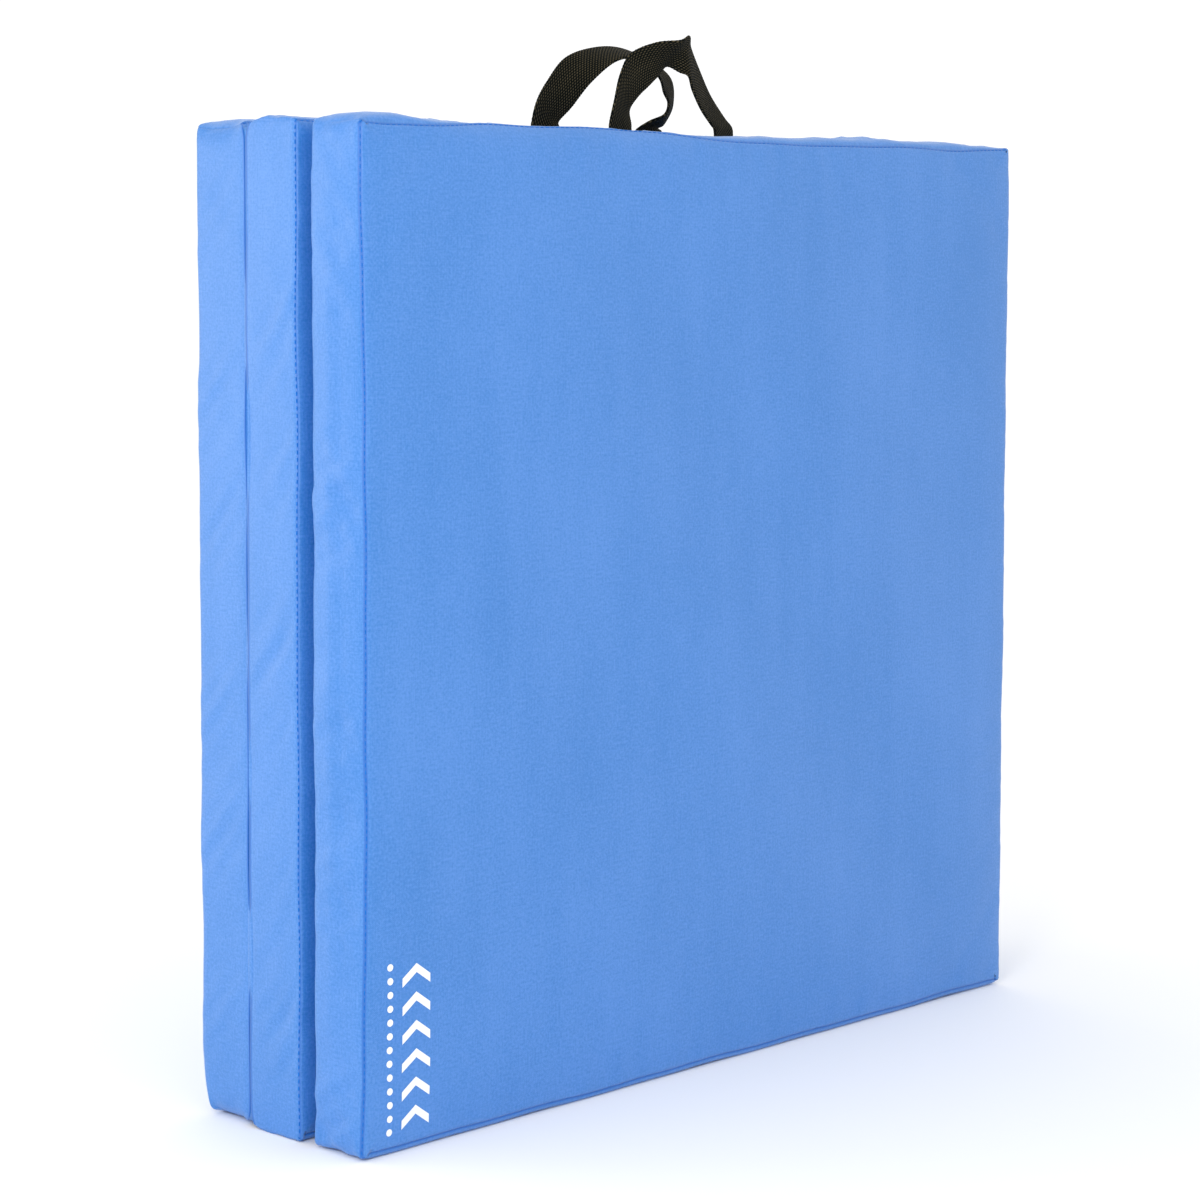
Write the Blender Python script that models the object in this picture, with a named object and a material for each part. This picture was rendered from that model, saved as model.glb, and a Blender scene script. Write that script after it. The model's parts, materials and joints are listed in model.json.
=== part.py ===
"""A tri-fold gym mat, folded up and standing on its long edge.

Three foam panels, each in a sewn cover of coated fabric, are joined by two fold seams: the front
panel to the middle one at the right, the rear panel to the middle one at the left. A webbing
handle is sewn into the top of each outer panel. Metres, +Z up, +X to the right across the front
face, the front face looking along -Y, and the origin on the floor under the middle panel.
"""
import math

import bmesh
import bpy
from mathutils import Vector

# Panels
PANEL_WIDTH = 0.598        # between the side seams
PANEL_HEIGHT = 0.592       # between the bottom and top seams
GUSSET_DEPTH = 0.043       # between the two face seams of one panel
FACE_CROWN = 0.004         # how far a face swells out past its seams
CROWN_REACH = 0.040        # how far in from a seam the swell goes on rising
PANEL_GAP = 0.0015         # between the swollen faces of two folded panels
COVER = 0.001              # thickness of the coated fabric
FIT = 0.0003               # between pieces that touch
CORE_CLEARANCE = 0.0005    # between the foam and whatever it is packed against

# Fold seams
FOLD_OUTBOARD = 0.001      # the fold line stands this far outside the side gussets
FOLD_BEAD_RADIUS = 0.0007
LIP_CLEARANCE = 0.0008     # from a gusset's folded lip to the fold line

# Handles
WEBBING_WIDTH = 0.025
WEBBING_THICKNESS = 0.002
HANDLE_SPAN = 0.096        # between the middles of a loop's two feet
HANDLE_RISE = 0.0475       # of the loop's centre line above its feet
HANDLE_TAIL = 0.020        # webbing hidden inside the cover at each foot
SWING_HEIGHT = 0.003       # the line a loop swings about, above the top gusset
FOOT_GAP = 0.0013          # from that line to the loop above it and to the sewn-in end below it
LOOP_STEPS = 44

PITCH = GUSSET_DEPTH + 2 * FACE_CROWN + PANEL_GAP
HALF_WIDTH = PANEL_WIDTH / 2
SEAM_Y = GUSSET_DEPTH / 2                     # a face seam, from its panel's middle
GUSSET_EDGE_Y = SEAM_Y - COVER - FIT          # a gusset's long edge, just inside the face sheet
WEBBING_Y = GUSSET_EDGE_Y - WEBBING_THICKNESS / 2
FOLD_X = HALF_WIDTH + FOLD_OUTBOARD
FOLD_Y = PITCH / 2

FRONT, REAR = -1, 1        # the side of a panel that looks along -Y or +Y
LEFT, RIGHT = -1, 1

# A loop's route: across (half spans from its middle), forward or back and up (both in rises), and
# the way from the centre line to the strap's outer edge, in half widths of webbing.
FRONT_LOOP = [
    (-1.00, 0.00, 0.00, (-1.00, 0.00, 0.00)),
    (-0.97, 0.00, 0.24, (-0.90, -0.36, 0.20)),
    (-0.85, -0.01, 0.50, (-0.82, -0.19, 0.54)),
    (-0.65, -0.02, 0.72, (-0.67, 0.00, 0.78)),
    (-0.36, -0.06, 0.87, (-0.48, -0.36, 0.78)),
    (-0.10, -0.10, 0.95, (-0.20, -0.70, 0.62)),
    (0.10, -0.11, 0.95, (0.10, -0.25, 0.93)),
    (0.25, -0.06, 0.86, (0.42, 0.35, 0.80)),
    (0.46, 0.02, 0.63, (0.67, 0.42, 0.60)),
    (0.70, 0.06, 0.34, (0.78, 0.42, 0.42)),
    (0.90, 0.02, 0.09, (0.92, 0.25, 0.12)),
    (1.00, 0.00, 0.00, (1.00, 0.00, 0.00)),
]
REAR_LOOP = [
    (-1.00, 0.00, 0.00, (-1.00, 0.00, 0.00)),
    (-0.96, -0.01, 0.20, (-0.86, -0.05, 0.46)),
    (-0.76, -0.03, 0.44, (-0.68, 0.22, 0.66)),
    (-0.45, -0.07, 0.77, (-0.34, 0.62, 0.65)),
    (0.00, -0.12, 1.00, (0.00, 0.92, 0.36)),
    (0.46, -0.15, 1.03, (0.14, 0.93, 0.33)),
    (0.92, -0.16, 0.85, (0.36, 0.78, 0.48)),
    (1.22, -0.14, 0.63, (0.74, 0.48, 0.44)),
    (1.32, -0.11, 0.38, (0.79, 0.60, 0.00)),
    (1.24, -0.07, 0.17, (0.66, 0.66, -0.20)),
    (1.08, -0.02, 0.09, (0.82, 0.46, -0.12)),
    (1.00, 0.00, 0.00, (1.00, 0.00, 0.00)),
]


def clear_scene():
    for thing in list(bpy.data.objects):
        bpy.data.objects.remove(thing, do_unlink=True)


def material(name, colour, roughness, metallic=0.0):
    made = bpy.data.materials.new(name)
    made.use_nodes = True
    shader = made.node_tree.nodes["Principled BSDF"]
    shader.inputs["Base Color"].default_value = (*colour, 1.0)
    shader.inputs["Roughness"].default_value = roughness
    shader.inputs["Metallic"].default_value = metallic
    return made


def empty(name, place, parent=None):
    """A marker on a joint's line, which everything that turns about it is parented to."""
    marker = bpy.data.objects.new(name, None)
    bpy.context.collection.objects.link(marker)
    marker.parent = parent
    marker.location = Vector(place) - (world_place(parent) if parent else Vector())
    return marker


def world_place(marker):
    place = Vector(marker.location)
    while marker.parent:
        marker = marker.parent
        place += marker.location
    return place


def piece(name, bm, finish, place, parent=None):
    """Turns a bmesh, drawn about the world position place, into a named sub-part."""
    bmesh.ops.recalc_face_normals(bm, faces=bm.faces)
    mesh = bpy.data.meshes.new(name)
    bm.to_mesh(mesh)
    bm.free()
    thing = bpy.data.objects.new(name, mesh)
    bpy.context.collection.objects.link(thing)
    thing.data.materials.append(finish)
    thing.parent = parent
    thing.location = Vector(place) - (world_place(parent) if parent else Vector())
    return thing


def block(bm, low, high):
    """A rectangular block between two corners."""
    made = bmesh.ops.create_cube(bm, size=1.0)["verts"]
    size = Vector(high) - Vector(low)
    middle = (Vector(high) + Vector(low)) / 2
    bmesh.ops.scale(bm, vec=size, verts=made)
    bmesh.ops.translate(bm, vec=middle, verts=made)


def rise_from_seam(distance):
    """The share of the full swell reached at a distance in from one seam."""
    if distance >= CROWN_REACH:
        return 1.0
    return 1.0 - (1.0 - max(distance, 0.0) / CROWN_REACH) ** 2


def swell(x, z):
    """How far a face stands out of its seams at a point."""
    sideways = min(HALF_WIDTH - x, x + HALF_WIDTH)
    upright = min(z, PANEL_HEIGHT - z)
    return FACE_CROWN * rise_from_seam(sideways) * rise_from_seam(upright)


def face_lines(low, high, seam_low, seam_high):
    """Grid lines across a face: close together where it curves, and one wide flat bay."""
    inside = [CROWN_REACH * share for share in (0.3, 0.62, 1.0)]
    lines = [low] + [seam_low + step for step in inside]
    lines += [seam_high - step for step in reversed(inside)] + [high]
    return lines


def swollen_slab(front_y, back_y, x_lines, z_lines):
    """A closed slab whose two big sides are height fields over the same grid."""
    bm = bmesh.new()
    grids = []
    for height in (front_y, back_y):
        grids.append([[bm.verts.new((x, height(x, z), z)) for x in x_lines] for z in z_lines])
    last_x, last_z = len(x_lines) - 1, len(z_lines) - 1
    for grid in grids:
        for row in range(last_z):
            for column in range(last_x):
                a, b = grid[row][column], grid[row][column + 1]
                c, d = grid[row + 1][column + 1], grid[row + 1][column]
                bm.faces.new((a, b, c))
                bm.faces.new((a, c, d))
    front, back = grids
    around = [(0, column) for column in range(last_x)]
    around += [(row, last_x) for row in range(last_z)]
    around += [(last_z, column) for column in range(last_x, 0, -1)]
    around += [(row, 0) for row in range(last_z, 0, -1)]
    for (row, column), (next_row, next_column) in zip(around, around[1:] + around[:1]):
        bm.faces.new((front[row][column], front[next_row][next_column],
                      back[next_row][next_column], back[row][column]))
    return bm


def face_sheet(name, side, lip_side, finish, place, parent):
    """One big face of a cover. Where a fold seam's lip passes its edge, the sheet stops short."""
    low, high = -HALF_WIDTH, HALF_WIDTH
    if lip_side == LEFT:
        low += COVER + FIT
    if lip_side == RIGHT:
        high -= COVER + FIT
    x_lines = face_lines(low, high, -HALF_WIDTH, HALF_WIDTH)
    z_lines = face_lines(0.0, PANEL_HEIGHT, 0.0, PANEL_HEIGHT)

    def outer(x, z):
        return side * (SEAM_Y + swell(x, z))

    def inner(x, z):
        return side * (SEAM_Y + swell(x, z) - COVER)

    return piece(name, swollen_slab(outer, inner, x_lines, z_lines), finish, place, parent)


def foam_core(name, pocket_side, finish, place, parent):
    """The foam slab, pressed by its cover to the cover's own shape, with a pocket where each
    handle's hidden end squeezes it."""
    inset = COVER + CORE_CLEARANCE
    x_lines = face_lines(inset - HALF_WIDTH, HALF_WIDTH - inset, -HALF_WIDTH, HALF_WIDTH)
    z_lines = face_lines(inset, PANEL_HEIGHT - inset, 0.0, PANEL_HEIGHT)

    def front(x, z):
        return inset - SEAM_Y - swell(x, z)

    def back(x, z):
        return SEAM_Y + swell(x, z) - inset

    core = piece(name, swollen_slab(front, back, x_lines, z_lines), finish, place, parent)
    if pocket_side:
        for foot in (LEFT, RIGHT):
            cutter = pocket_cutter(f"{name}_pocket_{foot}", pocket_side, foot, place, parent)
            cut = core.modifiers.new("pocket", "BOOLEAN")
            cut.operation = "DIFFERENCE"
            cut.object = cutter
    return core


def pocket_cutter(name, side, foot, place, parent):
    half = WEBBING_WIDTH / 2 + CORE_CLEARANCE
    middle = foot * HANDLE_SPAN / 2
    floor_z = PANEL_HEIGHT - COVER - HANDLE_TAIL - CORE_CLEARANCE
    near = GUSSET_EDGE_Y - WEBBING_THICKNESS - CORE_CLEARANCE
    far = SEAM_Y + 2 * FACE_CROWN
    y_low, y_high = sorted((side * near, side * far))
    bm = bmesh.new()
    block(bm, (middle - half, y_low, floor_z), (middle + half, y_high, PANEL_HEIGHT + COVER))
    cutter = piece(name, bm, None, place, parent)
    cutter.hide_render = True
    cutter.display_type = "WIRE"
    return cutter


def long_gusset(name, bottom_z, slot_side, finish, place, parent):
    """The top or bottom strip, with a slot in one edge for each handle foot that comes through."""
    edge = GUSSET_EDGE_Y
    outline = [(-HALF_WIDTH, -edge), (HALF_WIDTH, -edge), (HALF_WIDTH, edge)]
    if slot_side:
        half = WEBBING_WIDTH / 2 + FIT
        depth = edge - WEBBING_THICKNESS - FIT
        for foot in (RIGHT, LEFT):
            middle = foot * HANDLE_SPAN / 2
            outline += [(middle + half, edge), (middle + half, depth),
                        (middle - half, depth), (middle - half, edge)]
    outline.append((-HALF_WIDTH, edge))
    facing = slot_side or REAR
    bm = bmesh.new()
    sheet = bm.faces.new([bm.verts.new((x, facing * y, bottom_z)) for x, y in outline])
    raised = bmesh.ops.extrude_face_region(bm, geom=[sheet])["geom"]
    corners = [item for item in raised if isinstance(item, bmesh.types.BMVert)]
    bmesh.ops.translate(bm, vec=(0.0, 0.0, COVER), verts=corners)
    return piece(name, bm, finish, place, parent)


def side_gusset(name, side, lip_side, finish, place, parent):
    """A side strip. At a fold it runs on past its seam, as a lip, almost to the fold line."""
    reach = {FRONT: GUSSET_EDGE_Y, REAR: GUSSET_EDGE_Y}
    if lip_side:
        reach[lip_side] = FOLD_Y - LIP_CLEARANCE
    x_low, x_high = sorted((side * HALF_WIDTH, side * (HALF_WIDTH - COVER)))
    bm = bmesh.new()
    block(bm, (x_low, -reach[FRONT], COVER + FIT),
          (x_high, reach[REAR], PANEL_HEIGHT - COVER - FIT))
    return piece(name, bm, finish, place, parent)


def fold_seam(name, finish, place):
    """The sewn line that two panels turn about: a thin bead of folded-in fabric and thread."""
    bm = bmesh.new()
    length = PANEL_HEIGHT - 2 * (COVER + FIT)
    bmesh.ops.create_cone(bm, cap_ends=True, segments=12, radius1=FOLD_BEAD_RADIUS,
                          radius2=FOLD_BEAD_RADIUS, depth=length)
    bmesh.ops.translate(bm, vec=(0.0, 0.0, PANEL_HEIGHT / 2), verts=bm.verts)
    seam = piece(name, bm, finish, place)
    seam.data.shade_smooth()
    seam.data.set_sharp_from_angle(angle=math.radians(40))
    return seam


def handle_end(name, side, foot, finish, place, parent):
    """The end of a handle's webbing, caught in the top seam and hidden inside the cover."""
    half = WEBBING_WIDTH / 2
    middle = foot * HANDLE_SPAN / 2
    y = side * WEBBING_Y
    bm = bmesh.new()
    block(bm, (middle - half, y - WEBBING_THICKNESS / 2, PANEL_HEIGHT - COVER - HANDLE_TAIL),
          (middle + half, y + WEBBING_THICKNESS / 2, PANEL_HEIGHT + SWING_HEIGHT - FOOT_GAP))
    return piece(name, bm, finish, place, parent)


def smooth_through(points, steps):
    """Points along a Catmull-Rom curve through the given ones."""
    points = [Vector(point) for point in points]
    first = 2 * points[0] - points[1]
    last = 2 * points[-1] - points[-2]
    padded = [first] + points + [last]
    curve = []
    for step in range(steps + 1):
        along = step / steps * (len(points) - 1)
        index = min(int(along), len(points) - 2)
        t = along - index
        p0, p1, p2, p3 = padded[index:index + 4]
        curve.append(0.5 * (2 * p1 + (p2 - p0) * t + (2 * p0 - 5 * p1 + 4 * p2 - p3) * t ** 2
                            + (3 * p1 - p0 - 3 * p2 + p3) * t ** 3))
    return curve


def handle_loop(name, route, finish, axis):
    """The free webbing between a handle's feet: a flat strap swept along its twisting route."""
    scale = Vector((HANDLE_SPAN / 2, HANDLE_RISE, HANDLE_RISE))
    centres = smooth_through([scale * Vector(stop[:3]) for stop in route], LOOP_STEPS)
    edges = smooth_through([stop[3] for stop in route], LOOP_STEPS)
    bm = bmesh.new()
    rings = []
    for step, (centre, edge) in enumerate(zip(centres, edges)):
        ahead = centres[min(step + 1, LOOP_STEPS)] - centres[max(step - 1, 0)]
        across = edge * WEBBING_WIDTH / 2
        through = ahead.cross(edge).normalized() * WEBBING_THICKNESS / 2
        if step in (0, LOOP_STEPS):
            through = Vector((0.0, -WEBBING_THICKNESS / 2, 0.0))
        middle = centre + Vector((0.0, 0.0, FOOT_GAP))
        corners = (middle + across + through, middle + across - through,
                   middle - across - through, middle - across + through)
        rings.append([bm.verts.new(corner) for corner in corners])
    for ring, following in zip(rings, rings[1:]):
        for corner in range(4):
            beside = (corner + 1) % 4
            bm.faces.new((ring[corner], ring[beside], following[beside], following[corner]))
    bm.faces.new(rings[0])
    bm.faces.new(rings[-1])
    loop = piece(name, bm, finish, world_place(axis), axis)
    loop.data.shade_smooth()
    loop.data.set_sharp_from_angle(angle=math.radians(40))
    return loop


def build_panel(prefix, place, parent, cover, foam, lips, handle_side):
    """A foam slab and the six pieces of its cover. lips maps a side gusset to the face whose fold
    seam it runs on to."""
    for side, word in ((FRONT, "front"), (REAR, "rear")):
        lip_side = next((edge for edge, face in lips.items() if face == side), None)
        face_sheet(f"{prefix}_{word}_face", side, lip_side, cover, place, parent)
    long_gusset(f"{prefix}_top_gusset", PANEL_HEIGHT - COVER, handle_side, cover, place, parent)
    long_gusset(f"{prefix}_bottom_gusset", 0.0, None, cover, place, parent)
    for side, word in ((LEFT, "left"), (RIGHT, "right")):
        side_gusset(f"{prefix}_{word}_gusset", side, lips.get(side), cover, place, parent)
    foam_core(f"{prefix}_foam_core", handle_side, foam, place, parent)


def build_handle(prefix, side, route, webbing, panel_place, panel_axis):
    """One handle: its two sewn-in ends, which stay with the panel, and the loop that swings."""
    for foot, word in ((LEFT, "left"), (RIGHT, "right")):
        handle_end(f"{prefix}_handle_{word}_end", side, foot, webbing, panel_place, panel_axis)
    swing = Vector(panel_place) + Vector((0.0, side * WEBBING_Y, PANEL_HEIGHT + SWING_HEIGHT))
    axis = empty(f"{prefix}_handle_axis", swing, panel_axis)
    handle_loop(f"{prefix}_handle_loop", route, webbing, axis)


def build():
    clear_scene()
    cover = material("blue_cover", (0.09, 0.27, 0.78), 0.5)
    foam = material("white_foam", (0.80, 0.80, 0.78), 0.9)
    thread = material("seam_thread", (0.03, 0.13, 0.50), 0.7)
    webbing = material("black_webbing", (0.015, 0.015, 0.013), 0.85)

    middle_place = (0.0, 0.0, 0.0)
    front_place = (0.0, -PITCH, 0.0)
    rear_place = (0.0, PITCH, 0.0)
    front_axis = empty("front_fold_axis", (FOLD_X, -FOLD_Y, 0.0))
    rear_axis = empty("rear_fold_axis", (-FOLD_X, FOLD_Y, 0.0))

    build_panel("middle", middle_place, None, cover, foam, {RIGHT: FRONT, LEFT: REAR}, None)
    build_panel("front", front_place, front_axis, cover, foam, {RIGHT: REAR}, REAR)
    build_panel("rear", rear_place, rear_axis, cover, foam, {LEFT: FRONT}, FRONT)
    fold_seam("right_fold_seam", thread, (FOLD_X, -FOLD_Y, 0.0))
    fold_seam("left_fold_seam", thread, (-FOLD_X, FOLD_Y, 0.0))
    build_handle("front", REAR, FRONT_LOOP, webbing, front_place, front_axis)
    build_handle("rear", FRONT, REAR_LOOP, webbing, rear_place, rear_axis)


build()
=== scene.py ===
# %% [markdown]
# # A tri-fold gym mat, folded up on its edge
# The mat is three slabs of foam, each sewn into its own cover of coated fabric. Two fold seams
# join the covers, and a loop of webbing is sewn into the top seam of each outer panel. The packed
# CAD model gives every size and every place. This script gives the mat its looks: pulled-in seams,
# swollen faces, stitches, a print and woven straps.

# %% Load the fixed frame
import json
import math

import bpy
import numpy as np
from mathutils import Matrix, Vector


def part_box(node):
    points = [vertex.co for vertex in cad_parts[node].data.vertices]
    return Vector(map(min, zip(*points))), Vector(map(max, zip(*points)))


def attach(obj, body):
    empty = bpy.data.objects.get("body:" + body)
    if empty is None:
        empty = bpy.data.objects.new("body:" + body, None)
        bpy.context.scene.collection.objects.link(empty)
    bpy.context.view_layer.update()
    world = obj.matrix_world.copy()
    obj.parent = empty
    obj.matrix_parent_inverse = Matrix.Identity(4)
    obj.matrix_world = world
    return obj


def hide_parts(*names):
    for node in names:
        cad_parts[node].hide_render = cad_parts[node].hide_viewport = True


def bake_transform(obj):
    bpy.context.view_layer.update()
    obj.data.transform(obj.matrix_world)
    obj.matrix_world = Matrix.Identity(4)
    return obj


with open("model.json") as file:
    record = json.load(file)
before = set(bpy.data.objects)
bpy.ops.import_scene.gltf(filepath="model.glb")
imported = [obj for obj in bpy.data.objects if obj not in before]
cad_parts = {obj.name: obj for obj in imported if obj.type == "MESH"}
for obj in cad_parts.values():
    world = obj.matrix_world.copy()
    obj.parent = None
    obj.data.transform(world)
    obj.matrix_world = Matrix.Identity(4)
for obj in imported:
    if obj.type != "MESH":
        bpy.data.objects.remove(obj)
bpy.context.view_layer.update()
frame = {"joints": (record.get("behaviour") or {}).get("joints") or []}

# %% [markdown]
# Sizes come from the CAD boxes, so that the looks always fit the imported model. Each panel is worked
# on about its own middle, and its cover is moved to its place at the end. The swell is how far a
# face stands out past its seams.

# %% Sizes, read from the frame
COVER = 0.001              # the fabric's thickness
PANELS = ("front", "middle", "rear")

sheet_low, sheet_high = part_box("middle_front_face")
HEIGHT = sheet_high.z
HALF_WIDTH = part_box("middle_top_gusset")[1].x
SWELL = sheet_high.y - sheet_low.y - COVER
HALF_DEPTH = -sheet_low.y - SWELL          # from a panel's middle to its face seams

PANEL_Y = {}
for panel in PANELS:
    panel_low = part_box(f"{panel}_front_face")[0].y
    panel_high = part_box(f"{panel}_rear_face")[1].y
    PANEL_Y[panel] = (panel_low + panel_high) / 2

FOLDS = {joint["name"]: joint for joint in frame["joints"]}
FOLD_LINE = {"right": Vector(FOLDS["front_fold"]["pos_m"]),
             "left": Vector(FOLDS["rear_fold"]["pos_m"])}
HALF_PITCH = abs(FOLD_LINE["left"].y)
print(f"panel {2 * HALF_WIDTH:.3f} x {HEIGHT:.3f} m, seams {2 * HALF_DEPTH * 1000:.0f} mm apart,"
      f" swell {SWELL * 1000:.1f} mm")

# %% [markdown]
# The camera stands low and well back, with a long lens, so that the mat's upright edges stay
# nearly parallel. It is turned a little down, and the small shift keeps the mat in the middle of
# the picture. Everything is placed in metres.

# %% Camera
CAMERA_PLACE = Vector((-1.41077, -1.34569, 0.51666))
CAMERA_HEADING = math.radians(44.285)      # from +X towards +Y
CAMERA_TILT = math.radians(-4.314)
CAMERA_ROLL = math.radians(0.159)
CAMERA_LENS = 90.72        # mm, on a sensor 36 mm wide
CAMERA_SHIFT = -0.10

forward = Vector((math.cos(CAMERA_TILT) * math.cos(CAMERA_HEADING),
                  math.cos(CAMERA_TILT) * math.sin(CAMERA_HEADING), math.sin(CAMERA_TILT)))
level_right = Vector((math.sin(CAMERA_HEADING), -math.cos(CAMERA_HEADING), 0.0))
level_up = level_right.cross(forward)
right = level_right * math.cos(CAMERA_ROLL) + level_up * math.sin(CAMERA_ROLL)
up = level_up * math.cos(CAMERA_ROLL) - level_right * math.sin(CAMERA_ROLL)

camera_data = bpy.data.cameras.new("camera")
camera_data.lens = CAMERA_LENS
camera_data.sensor_width = 36.0
camera_data.shift_y = CAMERA_SHIFT
camera = bpy.data.objects.new("camera", camera_data)
turned = Matrix((right, up, -forward)).transposed()
camera.matrix_world = Matrix.Translation(CAMERA_PLACE) @ turned.to_4x4()
bpy.context.scene.collection.objects.link(camera)
bpy.context.scene.camera = camera
print("camera", [round(value, 3) for value in CAMERA_PLACE])

# %% [markdown]
# A studio for a plain blue mat wants soft light. A small key lamp stands in front and to the left,
# so the front face fades a little towards its right. A large lamp further round to the left lights
# the side strips, and a white surround keeps the shadows open.

# %% Light and floor
def soft_lamp(name, place, target, size, power):
    """A square area lamp that faces a point."""
    lamp = bpy.data.lights.new(name, "AREA")
    lamp.shape = "SQUARE"
    lamp.size = size
    lamp.energy = power
    lamp_object = bpy.data.objects.new(name, lamp)
    lamp_object.location = place
    aim = Vector(target) - Vector(place)
    lamp_object.rotation_euler = aim.to_track_quat("-Z", "Y").to_euler()
    bpy.context.scene.collection.objects.link(lamp_object)


MAT_MIDDLE = (0.0, 0.0, HEIGHT / 2)
SURROUND_STRENGTH = 1.08
FLOOR_HALF = 30.0

soft_lamp("key_lamp", (-1.22, -0.72, 0.75), MAT_MIDDLE, 0.35, 6.0)
soft_lamp("side_lamp", (-1.6, 1.75, 0.50), MAT_MIDDLE, 1.0, 8.5)

surround = bpy.data.worlds.new("white_surround")
surround.use_nodes = True
surround.node_tree.nodes["Background"].inputs["Color"].default_value = (1.0, 1.0, 1.0, 1.0)
surround.node_tree.nodes["Background"].inputs["Strength"].default_value = SURROUND_STRENGTH
bpy.context.scene.world = surround
bpy.context.scene.view_settings.view_transform = "Standard"

floor_mesh = bpy.data.meshes.new("floor")
floor_corners = [(-FLOOR_HALF, -FLOOR_HALF, 0.0), (FLOOR_HALF, -FLOOR_HALF, 0.0),
                 (FLOOR_HALF, FLOOR_HALF, 0.0), (-FLOOR_HALF, FLOOR_HALF, 0.0)]
floor_mesh.from_pydata(floor_corners, [], [(0, 1, 2, 3)])
floor = bpy.data.objects.new("floor", floor_mesh)
bpy.context.scene.collection.objects.link(floor)

# %% [markdown]
# Shader maths is easier to read as arithmetic than as a list of nodes. `Socket` wraps one output
# of a node, and each operator adds a Math node. `Finish` starts a material and adds any other node
# by its type, its settings and the values of its inputs.


# %% Shader arithmetic
class Socket:
    """A number, colour or vector on its way through a material's nodes."""

    def __init__(self, finish, output):
        self.finish = finish
        self.output = output

    def maths(self, operation, first, second):
        return self.finish.node("Math", {"operation": operation}, {0: first, 1: second})

    def __add__(self, other):
        return self.maths("ADD", self, other)

    def __radd__(self, other):
        return self.maths("ADD", other, self)

    def __sub__(self, other):
        return self.maths("SUBTRACT", self, other)

    def __rsub__(self, other):
        return self.maths("SUBTRACT", other, self)

    def __mul__(self, other):
        return self.maths("MULTIPLY", self, other)

    def __rmul__(self, other):
        return self.maths("MULTIPLY", other, self)

    def sine(self):
        return self.maths("SINE", self, 0.0)

    def clamped(self, low, high):
        """0 where the value is at low, 1 where it is at high, and smooth between them."""
        return self.finish.node("MapRange", {"interpolation_type": "SMOOTHSTEP"},
                                {"Value": self, "From Min": low, "From Max": high})


class Finish:
    """One material, built up from a Principled shader."""

    def __init__(self, name, **constants):
        self.material = bpy.data.materials.new(name)
        self.material.use_nodes = True
        self.tree = self.material.node_tree
        self.shader = self.tree.nodes["Principled BSDF"]
        for socket, value in constants.items():
            self.shader.inputs[socket.replace("_", " ")].default_value = value

    def node(self, kind, settings=None, inputs=None, output=0):
        made = self.tree.nodes.new("ShaderNode" + kind)
        for name, value in (settings or {}).items():
            setattr(made, name, value)
        for key, value in (inputs or {}).items():
            if isinstance(value, Socket):
                self.tree.links.new(value.output, made.inputs[key])
            else:
                made.inputs[key].default_value = value
        return Socket(self, made.outputs[output])

    def feed(self, socket, value):
        self.tree.links.new(value.output, self.shader.inputs[socket])

    def colour(self, share, first, second):
        """A mix of two colours, by a share from 0 to 1."""
        return self.node("Mix", {"data_type": "RGBA"}, {0: share, 6: first, 7: second}, 2)

    def stretched(self, vector, scale):
        """Coordinates scaled differently along each axis, so that a pattern stretches."""
        return self.node("Mapping", None, {"Vector": vector, "Scale": scale})

    def noise(self, vector, scale, detail=2.0):
        return self.node("TexNoise", None, {"Vector": vector, "Scale": scale, "Detail": detail})

    def uv(self):
        """The piece's own map, in metres across its cloth."""
        return self.node("UVMap", {"uv_map": "cloth"})

    def across_and_along(self):
        vector = self.uv()
        return tuple(self.node("SeparateXYZ", None, {0: vector}, axis) for axis in (0, 1))


def paper_white():
    """The studio floor."""
    finish = Finish("studio_floor", Roughness=0.9)
    tone = finish.noise(finish.node("TexCoord", output=3), 1.5)
    finish.feed("Base Color", finish.colour(tone, (0.955, 0.955, 0.955, 1), (0.97, 0.97, 0.97, 1)))
    return finish.material


floor_mesh.materials.append(paper_white())
print("floor finish ready")

# %% [markdown]
# The cover is a plain-weave polyester with a thin coat of polyurethane, so it has a soft satin
# gloss and the weave shows only as a faint grain. The map runs in metres across the cloth. Two
# waves at right angles make the weave, noise stretched along each thread direction makes slubs and
# soft streaks, and a stored distance to the nearest seam paints shade and dirt into the stitched
# groove as a darker blue.

# %% Cover fabric
THREAD_PITCH = 0.0011      # between neighbouring threads of the weave
DEEP_BLUE = (0.019, 0.172, 0.525, 1.0)
PALE_BLUE = (0.070, 0.238, 0.640, 1.0)
# The darker blue below is painted shade and dirt for the valley of each seam.
GROOVE_SHADE_AND_DIRT_BLUE = (0.001, 0.122, 0.500, 1.0)


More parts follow.
